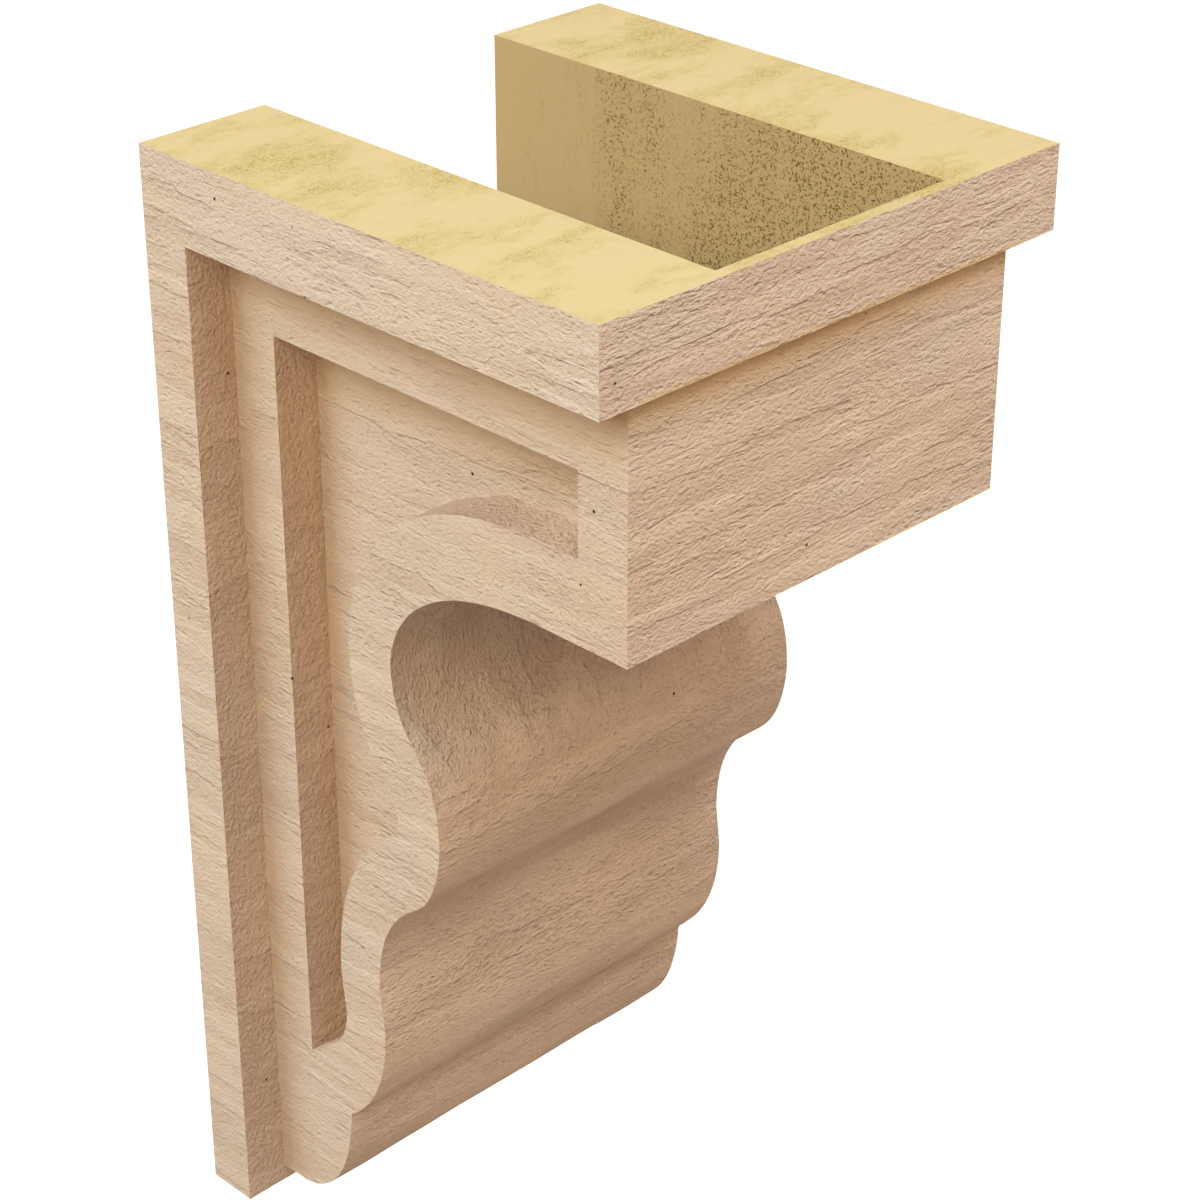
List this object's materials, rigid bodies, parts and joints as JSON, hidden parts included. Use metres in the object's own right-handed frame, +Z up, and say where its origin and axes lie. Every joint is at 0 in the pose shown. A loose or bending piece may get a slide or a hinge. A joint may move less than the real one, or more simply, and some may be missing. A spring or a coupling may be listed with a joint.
{
  "type": "corbel",
  "caption": "Hollow moulded urethane corbel with a rough-sawn timber look, flat cap, sunk side panels and an ogee front over a rounded foot.",
  "frame": {"origin": "on the flat back face, at the middle of the solid foot below the hollow", "axes": "+X across the width to the right as seen from the front, +Y back into the wall, the front faces -Y, +Z up"},
  "size_m": [0.1524, 0.1524, 0.3048],
  "materials": {
    "primed_urethane": "matt tan primer over cast urethane with a rough-sawn grain, raw yellow foam on the top and inside"
  },
  "bodies": {
    "root": {"corbel": "primed_urethane"}
  },
  "joints": []
}
